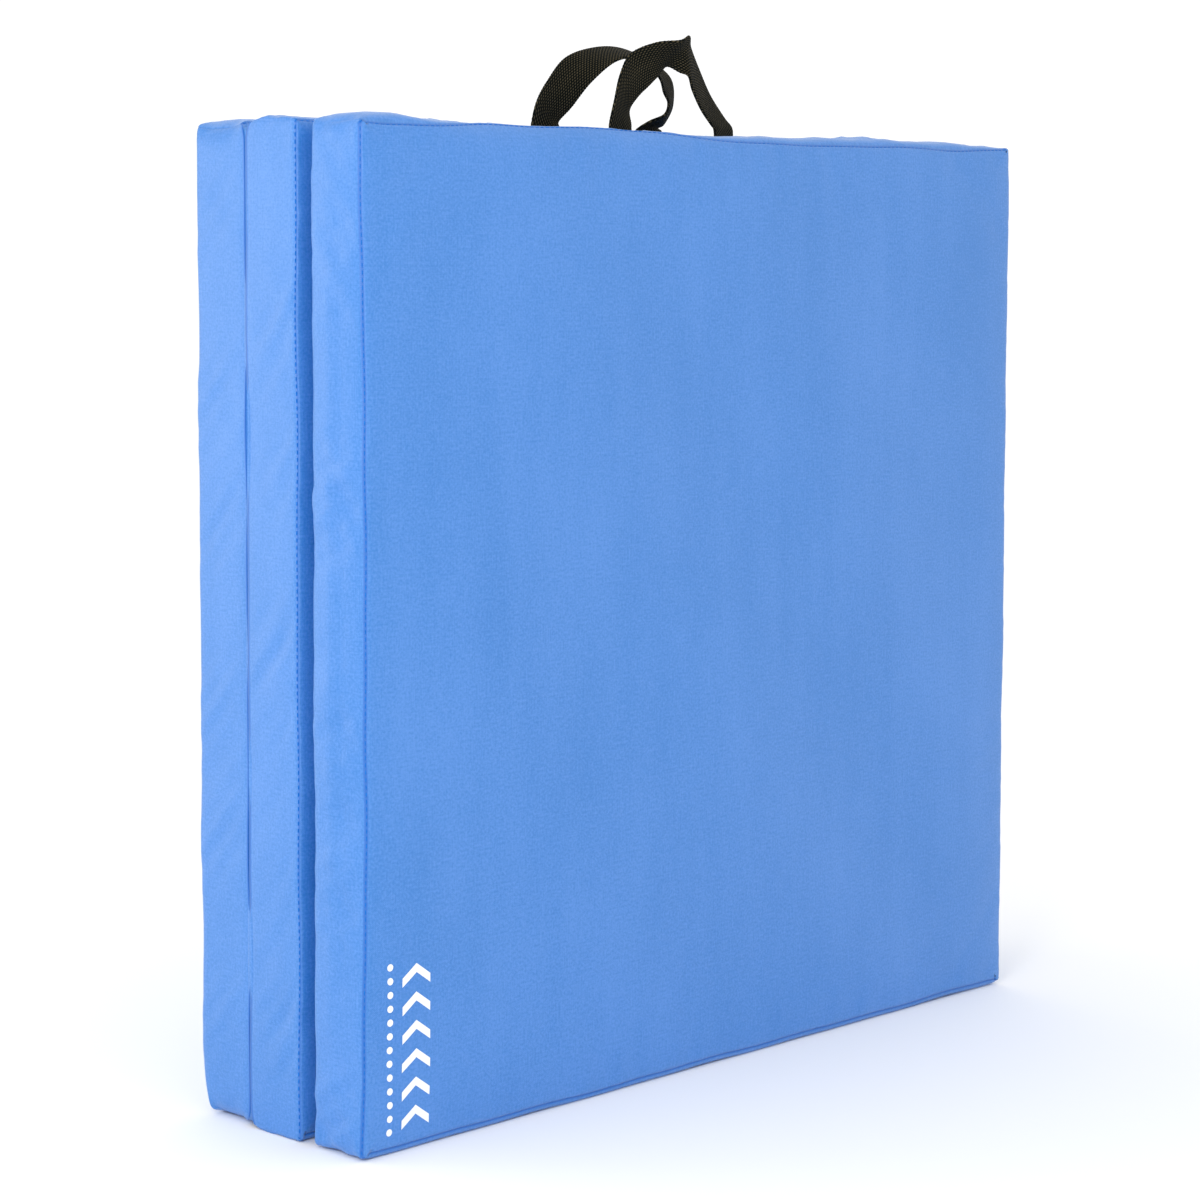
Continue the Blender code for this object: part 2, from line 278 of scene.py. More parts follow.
def blue_cover():
    finish = Finish("blue_cover", Specular_IOR_Level=0.65, Sheen_Weight=0.18,
                    Sheen_Roughness=0.45, Sheen_Tint=(0.72, 0.82, 1.0, 1.0))
    uv = finish.uv()
    across, along = finish.across_and_along()
    turns = 2 * math.pi / THREAD_PITCH
    weave = (across * turns).sine() * (along * turns).sine()
    warp_slubs = finish.noise(finish.stretched(uv, (1500.0, 70.0, 1.0)), 1.0)
    weft_slubs = finish.noise(finish.stretched(uv, (70.0, 1500.0, 1.0)), 1.0)
    streaks = finish.noise(finish.stretched(uv, (46.0, 5.0, 1.0)), 1.0, 3.0)
    patches = finish.noise(finish.stretched(uv, (9.0, 7.0, 1.0)), 1.0, 2.0)
    grain = finish.noise(finish.stretched(uv, (640.0, 640.0, 1.0)), 1.0, 1.0)
    tone = (streaks * 0.16 + patches * 0.30 + warp_slubs * 0.30 + weft_slubs * 0.25
            + grain * 0.60 + weave * 0.05)
    cloth = finish.colour(tone.clamped(0.58, 1.04), DEEP_BLUE, PALE_BLUE)
    seam = finish.node("Attribute", {"attribute_name": "seam_mm"}, None, 2)
    # Painted shade and dirt: the cover turns a darker blue within about 1.5 mm of a seam, in its
    # valley.
    groove_shade_and_dirt = seam.clamped(1.5, 0.3)
    shaded = finish.colour(groove_shade_and_dirt * 0.85, cloth, GROOVE_SHADE_AND_DIRT_BLUE)
    finish.feed("Base Color", shaded)
    finish.feed("Roughness", 0.36 + patches * 0.08 + grain * 0.06)
    height = weave * 0.5 + warp_slubs * 0.9 + weft_slubs * 0.9 + grain * 0.8
    bump = finish.node("Bump", None, {"Strength": 0.30, "Distance": 0.0002, "Height": height})
    finish.feed("Normal", bump)
    return finish.material


COVER_FINISH = blue_cover()
print("cover finish:", len(COVER_FINISH.node_tree.nodes), "nodes")

# %% [markdown]
# Closed-cell foam, white ink, sewing thread and polypropylene webbing are the other finishes. The
# foam is never seen on a finished mat, but it is there, as in the real one. The webbing is a
# coarse basket weave: two waves that take turns make its raised threads, which get a painted
# brownish highlight, and the gaps between them stay almost black.

# %% Other finishes
WEBBING_PITCH = 0.0021     # between neighbouring ribs of the webbing
FOAM_SHADE, FOAM_LIGHT = (0.74, 0.74, 0.71, 1.0), (0.86, 0.86, 0.84, 1.0)
INK_SHADE, INK_LIGHT = (0.80, 0.84, 0.90, 1.0), (0.93, 0.94, 0.96, 1.0)
THREAD_SHADE, THREAD_LIGHT = (0.002, 0.140, 0.52, 1.0), (0.008, 0.190, 0.65, 1.0)
# The second webbing colour is a painted brownish highlight for the raised threads; the first is the
# webbing's near-black.
WEBBING_SHADE, WEBBING_HIGHLIGHT = (0.0006, 0.0020, 0.0016, 1.0), (0.098, 0.080, 0.044, 1.0)


def white_foam():
    finish = Finish("white_foam", Roughness=0.92)
    cells = finish.node("TexVoronoi", None, {"Vector": finish.node("TexCoord", output=3),
                                             "Scale": 700.0})
    finish.feed("Base Color", finish.colour(cells, FOAM_SHADE, FOAM_LIGHT))
    bump = finish.node("Bump", None, {"Strength": 0.3, "Distance": 0.0004, "Height": cells})
    finish.feed("Normal", bump)
    return finish.material


def white_ink():
    finish = Finish("white_ink", Roughness=0.55)
    place = finish.node("TexCoord", output=3)
    wear = finish.noise(place, 900.0, 3.0)
    finish.feed("Base Color", finish.colour(wear, INK_SHADE, INK_LIGHT))
    bump = finish.node("Bump", None, {"Strength": 0.2, "Distance": 0.0001, "Height": wear})
    finish.feed("Normal", bump)
    return finish.material


def seam_thread():
    finish = Finish("seam_thread", Roughness=0.75, Specular_IOR_Level=0.2)
    twist = finish.node("TexWave", None, {"Vector": finish.node("TexCoord", output=3),
                                          "Scale": 900.0})
    finish.feed("Base Color", finish.colour(twist, THREAD_SHADE, THREAD_LIGHT))
    return finish.material


def black_webbing():
    finish = Finish("black_webbing", Specular_IOR_Level=0.08)
    uv = finish.uv()
    across, along = finish.across_and_along()
    turns = math.pi / WEBBING_PITCH
    lean = 0.55
    ribs = (along * turns + across * (lean * turns)).sine()
    cords = (across * (2.2 * turns) - along * (lean * turns)).sine()
    basket = ribs * cords
    fibres = finish.noise(finish.stretched(uv, (2600.0, 420.0, 1.0)), 1.0, 2.0)
    wear = finish.noise(finish.stretched(uv, (90.0, 30.0, 1.0)), 1.0, 2.0)
    # Painted highlight: where the basket weave's threads are raised they turn brownish, as if lit;
    # fibres and wear also vary the tone.
    raised = (basket * 0.6 + fibres * 0.55 + wear * 0.35).clamped(0.38, 1.20)
    finish.feed("Base Color", finish.colour(raised, WEBBING_SHADE, WEBBING_HIGHLIGHT))
    finish.feed("Roughness", 0.72 + fibres * 0.2)
    height = basket * 0.5 + fibres * 0.3
    bump = finish.node("Bump", None, {"Strength": 0.9, "Distance": 0.0005, "Height": height})
    finish.feed("Normal", bump)
    return finish.material


FOAM_FINISH = white_foam()
INK_FINISH = white_ink()
THREAD_FINISH = seam_thread()
WEBBING_FINISH = black_webbing()
print("finishes:", [item.name for item in bpy.data.materials])

# %% [markdown]
# Each cover is a box of fabric whose edges are its seams. A grid laid over the six sides of a box
# keeps those seams on grid lines, which a remesh would lose. The same helper makes an even, coarse
# grid for the cloth simulation and a fine one, crowded beside the seams, for the finished cover.

# %% A grid over the six sides of a box
BESIDE_SEAM = np.array([0.0, 0.0007, 0.0016, 0.0028, 0.0044, 0.0068, 0.0100])


def even_lines(low, high, step):
    return np.linspace(low, high, max(4, round((high - low) / step)) + 1)


def crowded_lines(low, high, step):
    """Lines that crowd together beside the two ends."""
    reach = BESIDE_SEAM[-1]
    count = max(2, round((high - low - 2 * reach) / step))
    inner = np.linspace(low + reach, high - reach, count + 1)[1:-1]
    return np.concatenate([low + BESIDE_SEAM, inner, (high - BESIDE_SEAM)[::-1]])


def grid_box(xs, ys, zs):
    """The grid's points, the quads of each side facing out, and the number of each point."""
    number = np.full((len(xs), len(ys), len(zs)), -1)
    skin = np.ones(number.shape, bool)
    skin[1:-1, 1:-1, 1:-1] = False
    number[skin] = np.arange(skin.sum())
    index = np.argwhere(skin)
    points = np.column_stack([xs[index[:, 0]], ys[index[:, 1]], zs[index[:, 2]]])

    def quads(plane, turn):
        corners = (plane[:-1, :-1], plane[1:, :-1], plane[1:, 1:], plane[:-1, 1:])
        made = np.stack(corners, -1).reshape(-1, 4)
        return made[:, ::-1] if turn else made

    sides = {"front": quads(number[:, 0, :], False), "rear": quads(number[:, -1, :], True),
             "left": quads(number[0, :, :], True), "right": quads(number[-1, :, :], False),
             "bottom": quads(number[:, :, 0], True), "top": quads(number[:, :, -1], False)}
    return points, sides, number


def new_piece(name, points, faces):
    mesh = bpy.data.meshes.new(name)
    mesh.from_pydata(np.asarray(points).tolist(), [], [list(map(int, face)) for face in faces])
    mesh.update()
    made = bpy.data.objects.new(name, mesh)
    bpy.context.scene.collection.objects.link(made)
    return made


print("lines beside a seam (mm):", (BESIDE_SEAM * 1000).round(1).tolist())

# %% [markdown]
# Padded fabric swells between its seams, and a cloth simulation finds that shape. The seams are
# pinned, a pressure stands for the foam, gravity is off, and the cloth is a little larger than its
# frame of seams, so it buckles into the soft creases of a real cover. The simulation gives only
# the rise of each side out of its seams. The finished cover reads that rise and limits it, as the
# flat foam behind the real fabric does.

# %% Swell each cover by cloth simulation
SIM_STEP = 0.009
SIM_FRAMES = 20
SPARE_CLOTH = -0.008       # a negative shrink makes the cloth larger than its frame of seams
CLOTH_BENDING = 0.8
PRESSURE = {"front": 4.0, "middle": 3.4, "rear": 4.6}


def simulate_rise(name, pressure):
    """How far each side of a panel's cover rises, on an even grid: {side: (lines, lines, rise)}."""
    xs = even_lines(-HALF_WIDTH, HALF_WIDTH, SIM_STEP)
    ys = even_lines(-HALF_DEPTH, HALF_DEPTH, SIM_STEP)
    zs = even_lines(0.0, HEIGHT, SIM_STEP)
    points, sides, number = grid_box(xs, ys, zs)
    moved = points
    cloth = new_piece(f"{name}_cloth", points, np.concatenate(list(sides.values())))
    seams = cloth.vertex_groups.new(name="seams")
    rings = np.unique(np.concatenate([ring.ravel() for ring in (
        number[:, [0, -1]][:, :, [0, -1]], number[[0, -1]][:, [0, -1]])]))
    seams.add([int(point) for point in rings if point >= 0], 1.0, "REPLACE")
    modifier = cloth.modifiers.new("cloth", "CLOTH")
    settings = modifier.settings
    settings.vertex_group_mass = "seams"
    settings.use_pressure = True
    settings.uniform_pressure_force = pressure
    settings.shrink_min = SPARE_CLOTH
    settings.bending_stiffness = CLOTH_BENDING
    settings.effector_weights.gravity = 0.0
    modifier.collision_settings.use_collision = False
    scene = bpy.context.scene
    scene.frame_start = 1
    scene.frame_end = SIM_FRAMES
    for step in range(1, SIM_FRAMES + 1):
        scene.frame_set(step)
    evaluated = cloth.evaluated_get(bpy.context.evaluated_depsgraph_get())
    moved = np.empty(len(points) * 3)
    evaluated.data.vertices.foreach_get("co", moved)
    moved = moved.reshape(-1, 3)
    bpy.data.objects.remove(cloth)
    shift = moved - points
    return {"front": (xs, zs, -shift[number[:, 0, :], 1]),
            "rear": (xs, zs, shift[number[:, -1, :], 1]),
            "left": (ys, zs, -shift[number[0, :, :], 0]),
            "right": (ys, zs, shift[number[-1, :, :], 0]),
            "bottom": (xs, ys, -shift[number[:, :, 0], 2]),
            "top": (xs, ys, shift[number[:, :, -1], 2])}


def read_grid(grid, u, v):
    """Reads a simulated rise between its grid lines."""
    us, vs, values = grid
    i = np.clip(np.searchsorted(us, u) - 1, 0, len(us) - 2)
    j = np.clip(np.searchsorted(vs, v) - 1, 0, len(vs) - 2)
    a = np.clip((u - us[i]) / (us[i + 1] - us[i]), 0, 1)
    b = np.clip((v - vs[j]) / (vs[j + 1] - vs[j]), 0, 1)
    low = values[i, j] * (1 - a) + values[i + 1, j] * a
    high = values[i, j + 1] * (1 - a) + values[i + 1, j + 1] * a
    return low * (1 - b) + high * b


RISES = {panel: simulate_rise(panel, PRESSURE[panel]) for panel in PANELS}
for panel, rise in RISES.items():
    print(panel, "face rises", round(float(rise["front"][2].max()) * 1000, 1), "mm before its limit")

# %% [markdown]
# The finished cover is worked out from a few rules. A seam is a valley between two small rolls of
# fabric. A face then goes on rising to its crown, and a side strip to the middle of its bulge.
# Strips run round the mat's corners, so those are rounded. At a fold, the strip runs on past its
# seam to the fold line. Along the bottom, and at two of the left edges, the seam lies further in
# and the strip wraps round to it. Seeded waves add puckers beside the seams and slanting creases
# on the strips. Everything is in metres.

# %% Rules for the cover's shape
TINY = 1e-7
SIDE_SIGN = {"left": -1.0, "right": 1.0}
FACE_SIGN = {"front": -1.0, "rear": 1.0}

# Seams
SEAM_SINK = 0.0006         # how far a seam sits below the rolls beside it
SEAM_WIDTH = 0.0004        # how wide the valley of a seam is
ROLL_REACH = 0.0045        # how wide a roll is
SEAM_WANDER = 0.00045      # how far a seam strays from its straight line
SEAM_FOLLOW = 0.030        # how far a face follows a seam that wanders
WANDER_LENGTHS = (0.21, 0.13, 0.09)
BOTTOM_LIFT = 0.0042       # the bottom seams stand this far above the floor
FLOOR_CLEARANCE = 0.0002
# The radius of each cover's four corners, at its seams and in the middle of its strips
CORNERS = {"front": (0.0045, 0.0100), "middle": (0.0022, 0.0034), "rear": (0.0060, 0.0150)}
CORNER_REACH = 0.012       # how far from a seam a corner reaches its larger radius

# Faces
FACE_ROLL = 0.0011
FOAM_LIMIT = 0.0055        # the larger, the slower the swell comes up to the foam's limit
BROAD_OUTER = 0.0007       # the height of the broad waves on a face that nothing leans on
BROAD_INNER = 0.00015
BROAD_REACH = 0.08
BROAD_LENGTHS = (0.19, 0.27, 0.36)
PUCKER_HEIGHT = 0.00028
PUCKER_REACH = 0.014
PUCKER_LENGTHS = (0.014, 0.022, 0.034)

# Strips
STRIP_ROLL = 0.00054
STRIP_BULGE = 0.0004       # how much further out the middle of a side strip stands
STRIP_CREASE = 0.0015
STRIP_SWELL = 0.25         # the share of the simulated rise that a side strip keeps
TOP_SWELL = 0.2
TOP_CREASE = 0.0009
TOP_ROLL = 0.55            # the share of a top strip's rise that its rolls take
TOP_REACH = 0.014
TOP_START = 3.0            # keeps the waves of a top strip apart from those of the sides
CREASE_LENGTHS = (0.017, 0.026, 0.041, 0.066)
PATCH_LENGTHS = (0.11, 0.17)

# A side strip that a fold presses flat, and its lip
PRESSED_SINK = 0.0005
PRESSED_SEAM_SINK = 0.0007
PRESSED_SEAM_REACH = 0.0012
PRESSED_BULGE = 0.0003
PRESSED_CREASE = 0.0009
PRESSED_LIMIT = 0.0007
LIP_GAP = 0.0004           # from a strip's lip to the fold line
LIP_END = 0.012            # a lip narrows over this height at its two ends
LIP_SPREAD = 0.030


def waves(along, across, lengths, seed, lean=0.0):
    """Irregular waves of about unit height, from a few sines with seeded lengths and phases."""
    draw = np.random.default_rng(seed)
    total = np.zeros(np.shape(along))
    for length in lengths:
        own = length * draw.uniform(0.82, 1.22)
        tilt = lean * draw.uniform(0.4, 1.3) * draw.choice((-1.0, 1.0))
        total += np.sin(2 * math.pi * (along + tilt * across) / own + draw.uniform(0, 6.28))
    return total / math.sqrt(len(lengths))


def roll(distance):
    """The side of a small roll: steep at the seam, level at its reach."""
    share = np.clip(distance / ROLL_REACH, 0, 1)
    return np.sqrt(1 - (1 - share) ** 2)


def dome(distance, reach):
    share = np.clip(distance / reach, 0, 1)
    return 1 - (1 - share) ** 2


def at_seam(distance):
    """1 on the seam itself, and almost 0 on the next grid line."""
    return np.exp(-(distance / SEAM_WIDTH) ** 2)


def profile(x, stops):
    """A height that changes smoothly along a strip, through a few (place, height) stops."""
    places, heights = np.array(stops).T
    fine = np.linspace(places[0], places[-1], 400)
    rough = np.interp(fine, places, heights)
    window = np.hanning(17)
    padded = np.pad(rough, 8, "edge")
    smooth = np.convolve(padded, window / window.sum(), "valid")
    return np.interp(x, fine, smooth)


# The height of each top strip above or below the panel's own height, along X, and how far its
# front seam hangs below that height.
TOP_CREST = {
    "front": [(-0.299, 0.0008), (-0.285, 0.0022), (-0.262, 0.0024), (-0.243, 0.0002),
              (-0.220, -0.0014), (-0.190, -0.0012), (-0.100, -0.0018), (-0.050, -0.0020),
              (0.000, -0.0026), (0.050, -0.0022), (0.080, -0.0016), (0.130, -0.0008),
              (0.165, 0.0004), (0.190, -0.0012), (0.215, -0.0006), (0.238, 0.0012),
              (0.262, -0.0010), (0.299, -0.0030)],
    "middle": [(-0.299, 0.0014), (-0.150, 0.0004), (0.000, -0.0006), (0.150, 0.0004),
               (0.299, -0.0004)],
    "rear": [(-0.299, 0.0012), (-0.200, 0.0008), (-0.040, -0.0008), (0.120, 0.0004),
             (0.299, -0.0004)],
}
TOP_SEAM = {
    "front": [(-0.299, 0.0030), (-0.280, 0.0045), (-0.250, 0.0040), (-0.220, 0.0030),
              (-0.190, 0.0022), (-0.060, 0.0026), (-0.010, 0.0048), (0.030, 0.0066),
              (0.120, 0.0064), (0.170, 0.0053), (0.230, 0.0057), (0.280, 0.0044),
              (0.299, 0.0036)],
    "middle": [(-0.299, 0.0008), (0.299, 0.0014)],
    "rear": [(-0.299, 0.0008), (0.299, 0.0014)],
}
BACK_SEAM_DROP = 0.0016    # how far its rear seam hangs below
# How far the front seam of the front panel's top strip is tucked back behind the face's own roll
SEAM_TUCK = [(-0.299, 0.0), (-0.235, 0.0), (-0.205, 1.0), (-0.050, 1.0), (-0.010, 0.25),
             (0.040, 0.0), (0.299, 0.0)]
TUCK_BACK = 0.0048
TUCK_RISE = 0.0008
TUCK_REACH = 0.007
EDGE_PULL = 0.05           # how far from the left edge a pulled seam recovers
# Which face seam is pulled along the depth at the left edge, and how far
SEAM_PULL = {"front": (1, -0.0016), "middle": (-1, 0.0024), "rear": (1, -0.0010)}
LEFT_WRAP = {"front": 0.0040, "middle": 0.0, "rear": 0.0045}   # round to the rear face's seam
WRAP_START = 0.024         # the wrap grows from nothing at the bottom to full at this height
SEAM_BOW = 0.0040          # how far the front panel's left seam bows in at mid-height
BOW_REACH = 0.030
SQUASH_DEPTH = 0.0075      # how far the rear panel's lower left corner is pressed forward
SQUASH_ALONG = 0.09
SQUASH_UP = 0.019

print("corner radii (m), at a seam and between seams:", CORNERS)

# %% [markdown]
# Small functions work out one rule each, for all points of a panel at once: the rounded outline
# and its outward direction, the strips, the faces and the lips at a fold. `shape_cover` puts them
# together. It moves each point across the outline first, and then along the panel's depth.


# %% From a grid to a sewn cover
def round_outline(x, z, radius):
    """Rounds the corners of the outline. Gives the new places and their outward direction."""
    core_x = np.clip(x, radius - HALF_WIDTH, HALF_WIDTH - radius)
    core_z = np.clip(z, radius, HEIGHT - radius)
    out_x, out_z = x - core_x, z - core_z
    length = np.hypot(out_x, out_z)
    reach = np.maximum(np.abs(out_x), np.abs(out_z))
    scale = np.divide(reach, length, out=np.ones_like(reach), where=length > 0)
    safe = np.maximum(length, 1e-9)
    return core_x + out_x * scale, core_z + out_z * scale, out_x / safe, out_z / safe


def face_direction(x, z):
    """The way to the nearest edge, for points inside a face."""
    gaps = np.stack([HALF_WIDTH + x, HALF_WIDTH - x, z, HEIGHT - z])
    nearest = gaps.argmin(0)
    return np.array([-1, 1, 0, 0])[nearest], np.array([0, 0, -1, 1])[nearest]


def squash(x, y, z):
    """How far the rear panel's lower left corner is pressed forward where it takes the weight."""
    share = (y + HALF_DEPTH) / (2 * HALF_DEPTH)
    beside = np.exp(-((x + HALF_WIDTH) / SQUASH_ALONG) ** 2)
    return SQUASH_DEPTH * beside * np.exp(-(z / SQUASH_UP) ** 2) * share ** 2


def outline_of(panel, x, z, inward, edge):
    """Each point's place on the rounded outline, and its way out of it."""
    at_edge, between = CORNERS[panel]
    radius = at_edge + (between - at_edge) * dome(inward, CORNER_REACH)
    new_x, new_z, out_x, out_z = round_outline(x, z, radius)
    toward_x, toward_z = face_direction(x, z)
    steady = (edge > TINY) & (np.hypot(out_x, out_z) < 0.5)
    return new_x, new_z, np.where(steady, toward_x, out_x), np.where(steady, toward_z, out_z)


def strip_swell(panel, x, y, z, on_face):
    """The simulated rise of the side and top strips, and 0 elsewhere."""
    swell = np.zeros(len(x))
    for side, mask, u, v in (("left", x < TINY - HALF_WIDTH, y, z),
                             ("right", x > HALF_WIDTH - TINY, y, z),
                             ("top", z > HEIGHT - TINY, x, y)):
        swell = np.where(mask & ~on_face, read_grid(RISES[panel][side], u, v), swell)
    return swell


def strip_creases(around, y, inward, seed):
    """Slanting creases, deeper in some places than in others, and gone at the seams."""
    creases = waves(around, y, CREASE_LENGTHS, seed + 1, lean=1.1)
    patchy = 0.5 + 0.5 * waves(around, y, PATCH_LENGTHS, seed + 2)
    return creases * patchy * dome(inward, HALF_DEPTH)


def side_strip(inward, creased, swell, folded):
    """How far a side strip stands out, where it is free and where a fold presses it flat."""
    bulge = dome(inward, HALF_DEPTH)
    free = (STRIP_ROLL * roll(inward) + STRIP_BULGE * bulge + STRIP_CREASE * creased
            + STRIP_SWELL * swell)
    pressed = (-PRESSED_SINK - PRESSED_SEAM_SINK * np.exp(-inward / PRESSED_SEAM_REACH)
               + PRESSED_BULGE * bulge + PRESSED_CREASE * creased)
    return np.where(folded, np.minimum(pressed, PRESSED_LIMIT), free)


def face_crown(panel, x, y, z, edge, around, seed):
    """How far a face stands out: a roll beside its seam, then the swell up to the foam's limit."""
    rise = RISES[panel]
    face_rise = np.where(y < 0, read_grid(rise["front"], x, z), read_grid(rise["rear"], x, z))
    share = 1 - np.exp(-np.maximum(face_rise, 0.0) / FOAM_LIMIT)
    outer = (panel == "front") & (y < 0) | (panel == "rear") & (y > 0)
    broad = waves(x, z, BROAD_LENGTHS, seed + 3, lean=0.7) * dome(edge, BROAD_REACH)
    pucker = waves(around, edge, PUCKER_LENGTHS, seed + 4, lean=0.25)
    return (FACE_ROLL * roll(edge) + (SWELL - FACE_ROLL) * share
            + np.where(outer, BROAD_OUTER, BROAD_INNER) * broad
            + PUCKER_HEIGHT * pucker * np.exp(-edge / PUCKER_REACH) * roll(edge)
            - SEAM_SINK * at_seam(edge))


def fold_lip(folds, x, z, facing):
    """At a fold, how far the strip's lip runs on towards the fold line. It narrows at its ends."""
    lip = np.zeros(len(x))
    reach = HALF_PITCH - LIP_GAP - HALF_DEPTH
    ends = dome(np.minimum(z, HEIGHT - z), LIP_END)
    for side, face in folds.items():
        from_side = np.where(SIDE_SIGN[side] * x > 0, HALF_WIDTH - np.abs(x), 1.0)
        beside = np.exp(-(from_side / LIP_SPREAD) ** 2)
        lip = np.maximum(lip, reach * ends * beside * (facing == FACE_SIGN[face]))
    return lip


def shape_cover(panel, points, folds, seed):
    """Moves a panel's grid points to the sewn cover. folds maps a side to the face whose seam is
    the fold. Gives the points and each one's distance from its nearest seam."""
    x, y, z = points.T
    facing = np.where(y < 0, -1.0, 1.0)
    on_face = np.abs(np.abs(y) - HALF_DEPTH) < TINY
    inward = HALF_DEPTH - np.abs(y)
    edge = np.minimum(HALF_WIDTH - np.abs(x), np.minimum(z, HEIGHT - z))
    new_x, new_z, out_x, out_z = outline_of(panel, x, z, inward, edge)
    around = np.where(np.abs(out_x) > np.abs(out_z), z, x + TOP_START)

    # How far the outline itself is in or out, which a face follows near its edge
    topness, bottomness = np.maximum(out_z, 0) ** 2, np.maximum(-out_z, 0) ** 2
    wander = SEAM_WANDER * waves(around, 0.0, WANDER_LENGTHS, seed)
    hang = np.where(facing < 0, profile(x, TOP_SEAM[panel]), BACK_SEAM_DROP)
    wrap = LEFT_WRAP[panel] * (facing > 0) * np.maximum(-out_x, 0) ** 2 * dome(z, WRAP_START)
    lift = BOTTOM_LIFT * bottomness + wrap
    follow = np.where(on_face, np.exp(-edge / SEAM_FOLLOW), 1.0)
    outline = (wander - hang * topness - lift) * follow
    outline = outline - SEAM_SINK * at_seam(np.where(on_face, edge, inward))
    tuck = np.zeros(len(x))
    if panel == "front":
        tuck = profile(x, SEAM_TUCK) * (y < 0) * np.where(on_face, z > HEIGHT / 2, topness)
        near = np.exp(-np.where(on_face, HEIGHT - z, inward) / TUCK_REACH)
        outline = outline + TUCK_RISE * tuck * near * ~on_face
        new_z = new_z + TUCK_RISE * tuck * near * on_face
        bow = SEAM_BOW * np.sin(math.pi * np.clip(z / HEIGHT, 0, 1)) ** 0.7
        hold = np.exp(-np.where(on_face, HALF_WIDTH + x, inward / 0.7) / BOW_REACH)
        new_x = new_x + bow * hold * (y < 0) * (x < 0)

    # The strips: a roll beside each seam, then a bulge, with a turn in towards a lifted seam
    folded = np.zeros(len(x), bool)
    for side in folds:
        folded |= (np.sign(x) == SIDE_SIGN[side]) & (np.abs(out_x) > 0.7)
    swell = strip_swell(panel, x, y, z, on_face)
    creased = strip_creases(around, y, inward, seed)
    arch = TOP_ROLL * roll(inward) + (1 - TOP_ROLL) * dome(inward, TOP_REACH)
    climb = (hang + profile(x, TOP_CREST[panel])) * arch
    top = climb + TOP_CREASE * creased + TOP_SWELL * swell
    side_share = np.clip(1 - topness - bottomness, 0, 1)
    bend = np.maximum(lift, 0.0001)
    turn = np.clip(inward / bend, 0, math.pi / 2)
    strip = (side_strip(inward, creased, swell, folded) * side_share + top * topness
             + lift * np.sin(turn))
    outline = outline + np.where(on_face, 0.0, strip)
    new_x = new_x + out_x * outline
    new_z = new_z + out_z * outline

    # The faces, and the lips that run on to a fold
    crown = face_crown(panel, x, y, z, edge, around, seed)
    lip = fold_lip(folds, x, z, facing)
    crown = np.where(lip > 0, np.maximum(crown, lip), crown)
    ring_rise = np.where(lip > 0, lip, -SEAM_SINK)
    depth = np.where(on_face, crown, (np.abs(y) / HALF_DEPTH) ** 3 * ring_rise)
    new_y = y + facing * depth

    # Round the bottom and the hidden left edges, a strip runs on a little before it turns in
    bent = np.clip(2.0 * (bottomness + (wrap > 0)) * ~on_face - 0.5, 0, 1)
    arc = bend * math.pi / 2
    beyond = np.maximum(inward - arc, 0) * (HALF_DEPTH - bend) / (HALF_DEPTH - arc)
    run_in = bend * (1 - np.cos(turn)) + beyond
    new_y = new_y + bent * (facing * (HALF_DEPTH - run_in) - new_y)

    # Seams that are tucked back, or pulled along the depth at the left edge
    reach_in = np.where(on_face, HEIGHT - z, inward)
    new_y = new_y - facing * TUCK_BACK * tuck * np.exp(-(reach_in / TUCK_REACH) ** 1.5)
    way, pull = SEAM_PULL[panel]
    share = np.clip(1 - inward / HALF_DEPTH, 0, 1) ** 1.5
    new_y = new_y + pull * np.exp(-(x + HALF_WIDTH) / EDGE_PULL) * (facing == way) * share
    if panel == "rear":
        new_y = new_y - squash(x, y, z)

    seam = np.where(on_face, edge, np.hypot(inward, climb * topness))
    return np.column_stack([new_x, new_y, np.maximum(new_z, FLOOR_CLEARANCE)]), seam


def lay_map(mesh, sides):
    """A map in metres across the cloth of each side."""
    planes = {"front": (0, 2), "rear": (0, 2), "left": (1, 2), "right": (1, 2),
              "bottom": (0, 1), "top": (0, 1)}
    places = np.empty(len(mesh.vertices) * 3)
    mesh.vertices.foreach_get("co", places)
    places = places.reshape(-1, 3)
    corners = np.concatenate([places[quads.ravel()][:, planes[side]]
                              for side, quads in sides.items()])
    layer = mesh.uv_layers.new(name="cloth")
    layer.data.foreach_set("uv", corners.astype(np.float32).ravel())


def store(mesh, name, values):
    mesh.attributes.new(name, "FLOAT", "POINT").data.foreach_set(
        "value", np.asarray(values, np.float32))


PANEL_FOLDS = {"front": {"right": "rear"}, "middle": {"right": "front", "left": "rear"},
               "rear": {"left": "front"}}
COVER_NODES = ("front_face", "rear_face", "top_gusset", "bottom_gusset", "left_gusset",
               "right_gusset")
SEED = {"front": 21, "middle": 47, "rear": 83}
FACE_STEP = 0.0055         # between grid lines across a face
STRIP_STEP = 0.0046
COVERS, SEAM_RINGS = {}, {}


def make_cover(panel):
    xs = crowded_lines(-HALF_WIDTH, HALF_WIDTH, FACE_STEP)
    ys = crowded_lines(-HALF_DEPTH, HALF_DEPTH, STRIP_STEP)
    zs = crowded_lines(0.0, HEIGHT, FACE_STEP)
    points, sides, number = grid_box(xs, ys, zs)
    shaped, seam = shape_cover(panel, points, PANEL_FOLDS[panel], SEED[panel])
    shaped[:, 1] += PANEL_Y[panel]
    cover = new_piece(f"{panel}_cover", shaped, np.concatenate(list(sides.values())))
    lay_map(cover.data, sides)
    store(cover.data, "seam_mm", seam * 1000)
    cover.data.materials.append(COVER_FINISH)
    cover.data.shade_smooth()
    rings = []
    for end in (0, -1):
        ring = np.concatenate([number[:-1, end, 0], number[-1, end, :-1],
                               number[:0:-1, end, -1], number[0, end, :0:-1]])
        rings.append(shaped[ring])
    SEAM_RINGS[panel] = rings
    return cover


